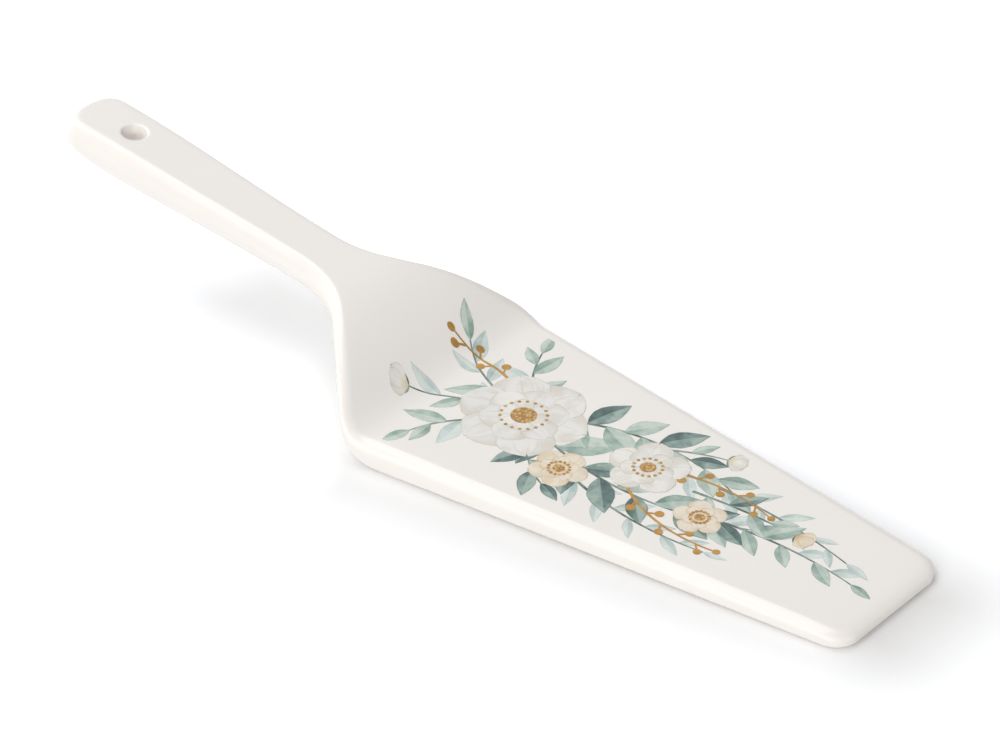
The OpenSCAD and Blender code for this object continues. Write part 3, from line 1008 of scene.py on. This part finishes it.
peel = add_node(tree, "TexNoise", {"Vector": where, "Scale": per_mm(7), "Detail": 1.0})
ripple = add_node(tree, "Bump", {"Height": peel, "Strength": 0.35, "Distance": peel_depth})
shine = add_node(tree, "MapRange", {"Value": edge_value, "To Min": 0.07, "To Max": 0.11})
surface = add_node(tree, "BsdfPrincipled", {
    "Base Color": hue, "Roughness": shine, "IOR": glass_ior, "Normal": ripple})
finish_material(glaze, tree, glazed_server, surface)

# %% [markdown]
# ## Painting with nodes
# The print is to look like watercolour, which is built up in layers, so two helpers each lay one
# more hue over what is painted. The first follows one of the marks' values, or a blotchy noise.
# The second lays on the line that dried at the border. It is 0.3 mm wide, and its gaps follow a
# noise of 1.8 mm.

# %% Helpers for painted enamel
enamel_roughness = 0.12
dried_reach = (0.05, 0.3)
dried_gap_size = 1.8


def start_enamel(name):
    """A material for painted marks, with what their points remember."""
    values = []
    material, tree, where = start_material(name)
    for value in VALUES:
        remembered = add_node(tree, "Attribute", attribute_name=value)
        values.append(remembered.outputs["Fac"])
    return material, tree, where, values


def lay_over(tree, painted, hue, value, limits, shares):
    """One more layer: its share goes smoothly from one to the other between the value's limits."""
    share = add_node(tree, "MapRange", {
        "Value": value, "From Min": limits[0], "From Max": limits[1], "To Min": shares[0],
        "To Max": shares[1]}, interpolation_type="SMOOTHSTEP")
    return add_node(tree, "Mix", {MIX_FACTOR: share, MIX_A: painted, MIX_B: linear(hue)},
                    data_type="RGBA")


def dry_at_border(tree, painted, hue, border, where, strength):
    """One more layer: the broken line where the paint dried."""
    near = add_node(tree, "MapRange", {
        "Value": border, "From Min": dried_reach[0], "From Max": dried_reach[1],
        "To Min": strength, "To Max": 0.0}, interpolation_type="SMOOTHSTEP")
    gaps = add_node(tree, "TexNoise",
                    {"Vector": where, "Scale": per_mm(dried_gap_size), "Detail": 2.0})
    broken = add_node(tree, "MapRange", {
        "Value": gaps, "From Min": 0.42, "From Max": 0.58, "To Min": 0.15, "To Max": 1.0},
        interpolation_type="SMOOTHSTEP")
    share = add_node(tree, "Math", {0: near, 1: broken}, operation="MULTIPLY")
    return add_node(tree, "Mix", {MIX_FACTOR: share, MIX_A: painted, MIX_B: linear(hue)},
                    data_type="RGBA")


def fire_enamel(material, tree, piece, hue, roughness=enamel_roughness):
    """The shiny glass that every painted layer ends in."""
    surface = add_node(tree, "BsdfPrincipled", {
        "Base Color": hue, "Roughness": roughness, "IOR": glass_ior})
    finish_material(material, tree, piece, surface)


print("the dried line reaches in by", dried_reach[1], "mm")

# %% [markdown]
# ## Leaf enamels
# Common name: overglaze enamel, a coloured lead-free glass, screen-printed and fired until it is as
# glossy as the glaze. Each leaf has a wash that is darker on one half and at its root, blotches
# about 3 mm wide where the paint pooled, a darker line at its border, a midrib left pale, and the
# paper's grain, a mottle of 0.35 mm. Three leaf enamels share this recipe and differ only in colour.

# %% Leaf materials
blotch_size = 3.2
blotch_strength = 1.1
blotch_level = -0.3
tone_strength = 0.28
dark_until = 0.18
middle_at = 0.55
grain_size = 0.35
LEAF_COLOURS = {
    "deep": ("deep_teal_enamel_fired_gloss", "#3a4d4a", "#5c7874", "#a0b5ac"),
    "sage": ("sage_enamel_fired_gloss", "#748f86", "#9fb5aa", "#cbd7cd"),
    "pale": ("pale_blue_grey_enamel_fired_gloss", "#a0b6b3", "#c0ceca", "#dde5e1"),
}
for colour, (name, dark, middle, light) in LEAF_COLOURS.items():
    material, tree, where, (along, across, border, tone) = start_enamel(name)
    # One half of the leaf is darker, and the leaf's own tone says which.
    lean = add_node(tree, "Math", {0: tone, 1: 0.5}, operation="GREATER_THAN")
    lean_side = add_node(tree, "Math", {0: lean, 1: 2.0, 2: -1.0}, operation="MULTIPLY_ADD")
    leaning = add_node(tree, "Math", {0: across, 1: lean_side}, operation="MULTIPLY")
    blotches = add_node(tree, "TexNoise",
                        {"Vector": where, "Scale": per_mm(blotch_size), "Detail": 2.0})
    wash = add_node(tree, "Math", {0: blotches, 1: blotch_strength, 2: blotch_level},
                    operation="MULTIPLY_ADD")
    for value, low, high, most in ((leaning, -0.12, 0.16, 0.34), (along, 0.0, 0.75, 0.28)):
        lighter = add_node(tree, "MapRange", {
            "Value": value, "From Min": low, "From Max": high, "To Min": 0.0, "To Max": most},
            interpolation_type="SMOOTHSTEP")
        wash = add_node(tree, "Math", {0: wash, 1: lighter}, operation="ADD")
    wash = add_node(tree, "Math", {0: tone, 1: tone_strength, 2: wash}, operation="MULTIPLY_ADD")
    painted = add_node(tree, "ValToRGB", {0: wash})
    stops = painted.color_ramp.elements
    stops[0].color = linear(dark)
    stops[0].position = dark_until
    stops[1].color = linear(light)
    stops.new(middle_at).color = linear(middle)
    painted = dry_at_border(tree, painted, dark, border, where, 0.6)
    from_rib = add_node(tree, "Math", {0: across}, operation="ABSOLUTE")
    painted = lay_over(tree, painted, light, from_rib, (0.02, 0.10), (0.6, 0.0))
    mottle = add_node(tree, "TexNoise",
                      {"Vector": where, "Scale": per_mm(grain_size), "Detail": 1.0})
    grain = add_node(tree, "MapRange", {"Value": mottle, "To Min": 0.92, "To Max": 1.08})
    painted = add_node(tree, "VectorMath", {0: painted, VECTOR_SCALE: grain}, operation="SCALE")
    fire_enamel(material, tree, printed[colour], painted)

# %% [markdown]
# ## Petal enamels
# The petals are the same enamel, but almost as pale as the glaze, so their drawing does the work:
# cooler on some petals than on others, washes where the paint pooled, faint veins that run out along
# the petal, a soft shadow down the side that the next petal lies over, warmth at the heart, and a
# thin broken line at the border. Veins are about 1.5 mm apart at the petal's widest, washes 5 mm.

# %% Petal materials
pool_size = 5
vein_stretch = (6.0, 0.9, 30.0)
PETAL_COLOURS = {
    "cream": ("ivory_enamel_fired_gloss", "#e2c995", "#f2efe9", "#e8e7e4", "#d5cfc2", "#b9b0a0"),
    "blush": ("warm_cream_enamel_fired_gloss", "#d2a05c", "#f0e4cf", "#ece3d6", "#d9c6a4",
              "#b99a6e"),
}
for colour, (name, heart_hue, warm, cool, shade, line) in PETAL_COLOURS.items():
    material, tree, where, (along, across, border, tone) = start_enamel(name)
    painted = add_node(tree, "Mix", {MIX_FACTOR: tone, MIX_A: linear(warm),
                       MIX_B: linear(cool)}, data_type="RGBA")
    pools = add_node(tree, "TexNoise", {"Vector": where, "Scale": per_mm(pool_size), "Detail": 2.0})
    vein_at = add_node(tree, "CombineXYZ", {"X": across, "Y": along, "Z": tone})
    stretched = add_node(tree, "VectorMath", {0: vein_at, 1: vein_stretch}, operation="MULTIPLY")
    veins = add_node(tree, "TexNoise", {"Vector": stretched, "Scale": 1.0,
                     "Detail": 3.0, "Roughness": 0.55})
    for hue, value, limits, shares in (
            (shade, pools, (0.42, 0.68), (0.0, 0.5)), (shade, veins, (0.5, 0.7), (0.0, 0.5)),
            (shade, across, (0.2, 1.0), (0.0, 0.6)), (heart_hue, along, (0.05, 0.5), (0.75, 0.0))):
        painted = lay_over(tree, painted, hue, value, limits, shares)
    painted = dry_at_border(tree, painted, line, border, where, 0.7)
    fire_enamel(material, tree, printed[colour], painted)

# %% [markdown]
# ## Stems, eyes and gold
# The stem enamel is a grey green, darker where the brush pressed, in stretches of 4 mm. The ochre of
# the flowers' eyes is speckled like pollen, in grains of 0.9 mm. The gold is different in kind: a
# film of real metal, brushed on as a resin and fired, so it is metallic, reflects its own colour,
# and comes out satin and slightly uneven.

# %% Stem, ochre and gold materials
SPECKLED = {
    "stem": ("grey_green_enamel_fired_gloss", "TexNoise", 4, (0.35, 0.65),
             "#4c5c55", "#8fa095", 0.12),
    "stamen": ("ochre_enamel_fired_gloss", "TexVoronoi", 0.9, (0.15, 0.6),
               "#e0be7c", "#ab7d3c", 0.14),
}
for colour, (name, pattern, size, limits, first, second, roughness) in SPECKLED.items():
    material, tree, where = start_material(name)
    speckles = add_node(tree, pattern, {"Vector": where, "Scale": per_mm(size)})
    share = add_node(tree, "MapRange", {"Value": speckles, "From Min": limits[0],
                     "From Max": limits[1]})
    hue = add_node(tree, "Mix", {MIX_FACTOR: share, MIX_A: linear(first),
                   MIX_B: linear(second)}, data_type="RGBA")
    fire_enamel(material, tree, printed[colour], hue, roughness)

gold, tree, where = start_material("fired_lustre_gold_satin")
brushing = add_node(tree, "TexNoise", {"Vector": where, "Scale": per_mm(1.6), "Detail": 3.0})
hue = add_node(tree, "Mix", {MIX_FACTOR: brushing, MIX_A: linear("#86622c"),
               MIX_B: linear("#b28d55")}, data_type="RGBA")
satin = add_node(tree, "MapRange", {"Value": brushing, "To Min": 0.28, "To Max": 0.48})
surface = add_node(tree, "BsdfPrincipled", {"Base Color": hue, "Roughness": satin, "Metallic": 1.0})
finish_material(gold, tree, printed["gold"], surface)

# %% [markdown]
# ## Floor and surroundings
# The photograph stands on white paper that burns out to pure white but keeps a soft shadow. A lit
# white floor alone comes out grey or has to be overlit, which bleaches the ceramic. So the floor is
# an honest pale surface for every ray that lights the object, and only what the camera or a
# reflection sees gets a share of plain white added. The shadow survives in the other share.
# The added white is least in a zone around and in front of the server, where the shadow must show,
# and grows with the distance from it. So the floor is painted darker there: a painted shadow over the
# real one. The zone's near line roughly follows the server: close in by the handle, far out by the
# shoulder, and back in towards the tip. The painted shadow is darker by the blade than by the raised
# handle.

# %% Floor and world
floor_reach = 3.0
floor_gap = 0.05 * MM
glow_colour = (0.94, 0.985, 1.07, 1)
# The added white closest to the server: the lower it is, the darker the painted shadow.
glow_by_handle = 0.22
glow_by_blade = 0.02
glow_far = 0.70
far_reach = 52 * MM
painted_shadow_ends = (-75 * MM, 136 * MM)
near_by_handle = 5 * MM
near_by_shoulder = -44 * MM
near_by_tip = -10 * MM
painted_shadow_far_line = 10 * MM
room_light = 0.15
# What changes along the server: from where to where in x, and from what value to what value.
ALONG_SERVER = {
    "glow": (-42 * MM, 90 * MM, glow_by_handle, glow_by_blade),
    "line by the neck": (-45 * MM, -2 * MM, near_by_handle, near_by_shoulder),
    "line by the blade": (-2 * MM, 132 * MM, near_by_shoulder, near_by_tip),
}


def seen_directly(tree):
    """1 for a ray from the camera, off a gloss or through glass, and 0 for one that lights."""
    rays = add_node(tree, "LightPath")
    seen = rays.outputs["Is Camera Ray"]
    for kind in ("Is Glossy Ray", "Is Transmission Ray"):
        seen = add_node(tree, "Math", {0: seen, 1: rays.outputs[kind]}, operation="MAXIMUM")
    return seen


def outside(tree, value, low, high):
    """How far a value is outside a range, and 0 within it."""
    below = add_node(tree, "Math", {0: low, 1: value}, operation="SUBTRACT")
    above = add_node(tree, "Math", {0: value, 1: high}, operation="SUBTRACT")
    most = add_node(tree, "Math", {0: below, 1: above}, operation="MAXIMUM")
    return add_node(tree, "Math", {0: most, 1: 0.0}, operation="MAXIMUM")


corners = [(x * floor_reach, y * floor_reach, -floor_gap)
           for x, y in ((-1, -1), (1, -1), (1, 1), (-1, 1))]
floor_mesh = bpy.data.meshes.new("floor")
floor_mesh.from_pydata(corners, [], [(0, 1, 2, 3)])
floor = add_object("floor", floor_mesh)

paper, tree, where = start_material("matt_white_paper")
parts = add_node(tree, "SeparateXYZ", {"Vector": where})
x, y = parts.outputs["X"], parts.outputs["Y"]
here = {}
for name, (from_low, from_high, to_low, to_high) in ALONG_SERVER.items():
    here[name] = add_node(tree, "MapRange", {
        "Value": x, "From Min": from_low, "From Max": from_high, "To Min": to_low,
        "To Max": to_high})
painted_shadow_near_line = add_node(tree, "Math", {0: here["line by the neck"],
                     1: here["line by the blade"]}, operation="MAXIMUM")
beyond = add_node(tree, "CombineXYZ", {"X": outside(tree, x, *painted_shadow_ends),
                  "Y": outside(tree, y, painted_shadow_near_line, painted_shadow_far_line)})
away = add_node(tree, "VectorMath", {0: beyond}, operation="LENGTH")
# Less added white near the server paints the floor darker there, as a painted shadow.
glow = add_node(tree, "MapRange", {
    "Value": away.outputs["Value"], "From Min": 0.0, "From Max": far_reach,
    "To Min": here["glow"], "To Max": glow_far})
glow = add_node(tree, "Math", {0: glow, 1: seen_directly(tree)}, operation="MULTIPLY")
matt = add_node(tree, "BsdfDiffuse", {"Color": linear("#e8e7e5")})
white = add_node(tree, "Emission", {"Color": glow_colour, "Strength": glow})
both = add_node(tree, "AddShader", {0: matt, 1: white})
finish_material(paper, tree, floor, both)

world = bpy.data.worlds.new("white_studio")
bpy.context.scene.world = world
world.use_nodes = True
tree = world.node_tree
tree.nodes.clear()
level = add_node(tree, "MapRange", {"Value": seen_directly(tree),
                 "To Min": room_light, "To Max": 1.0})
sky = add_node(tree, "Background", {"Color": (1, 1, 1, 1), "Strength": level})
add_node(tree, "OutputWorld", {"Surface": sky})
print("world lights the room at", room_light, "of what the camera sees")

# %% [markdown]
# ## Camera and lamps
# The camera's angle, distance and lens come from a fit to the server's outline in the photograph,
# and its shift from the photograph's crop. Five large softboxes stand 2.4 m away: in front, low in
# front to the right, past the tip, behind the handle, and high at the back left. At that distance
# the light is even along the server, and the highlight on its rolled edge stays crisp.

# %% Camera and lamps
camera_azimuth = -49.965
camera_elevation = 34.456
camera_distance = 1.1211
aim = Vector((0.1 * MM, 0, 8 * MM))
photo_width = 1000
photo_height = 750
focal_pixels = 4444.2
aim_pixel = (466.4, 383.65)
sensor_mm = 36
softbox_distance = 2.4
# Each softbox: azimuth and elevation in degrees, width and height in metres, power in watts.
SOFTBOXES = {
    "softbox_front": (270, 38, 2.2, 2.2, 27.0),
    "softbox_front_right_low": (300, 15, 1.8, 1.2, 16.0),
    "softbox_past_the_tip": (5, 15, 1.8, 1.2, 9.6),
    "softbox_behind_the_handle": (180, 15, 3.0, 1.8, 14.4),
    "softbox_back_left_high": (165, 60, 2.2, 2.2, 32.4),
}


def put_around(thing, middle, azimuth, elevation, distance):
    """Stands a camera or lamp around a point, looking at it: azimuth 0 is past the tip."""
    around, above = math.radians(azimuth), math.radians(elevation)
    out = Vector((math.cos(around) * math.cos(above), math.sin(around) * math.cos(above),
                  math.sin(above)))
    turned = out.to_track_quat("Z", "Y").to_matrix().to_4x4()
    holder = add_object(thing.name, thing)
    holder.matrix_world = Matrix.Translation(middle + out * distance) @ turned
    return holder


lens = bpy.data.cameras.new("camera")
lens.sensor_width = sensor_mm
lens.lens = sensor_mm * focal_pixels / photo_width
lens.shift_x = (photo_width / 2 - aim_pixel[0]) / photo_width
lens.shift_y = (aim_pixel[1] - photo_height / 2) / photo_width
camera = put_around(lens, aim, camera_azimuth, camera_elevation, camera_distance)
bpy.context.scene.camera = camera
print("lens:", round(lens.lens, 1), "mm, camera at", [round(c, 3) for c in camera.location])

for name, (azimuth, elevation, width, height, power) in SOFTBOXES.items():
    lamp = bpy.data.lights.new(name, "AREA")
    lamp.shape = "RECTANGLE"
    lamp.size = width
    lamp.size_y = height
    lamp.energy = power
    put_around(lamp, Vector(), azimuth, elevation, softbox_distance)
print("softboxes:", len(SOFTBOXES))

# %% [markdown]
# ## Finish
# The finished model has to fill the CAD model's box and no more. Last, the view transform is set to
# Standard.

# %% Finish
bpy.context.scene.view_settings.view_transform = "Standard"
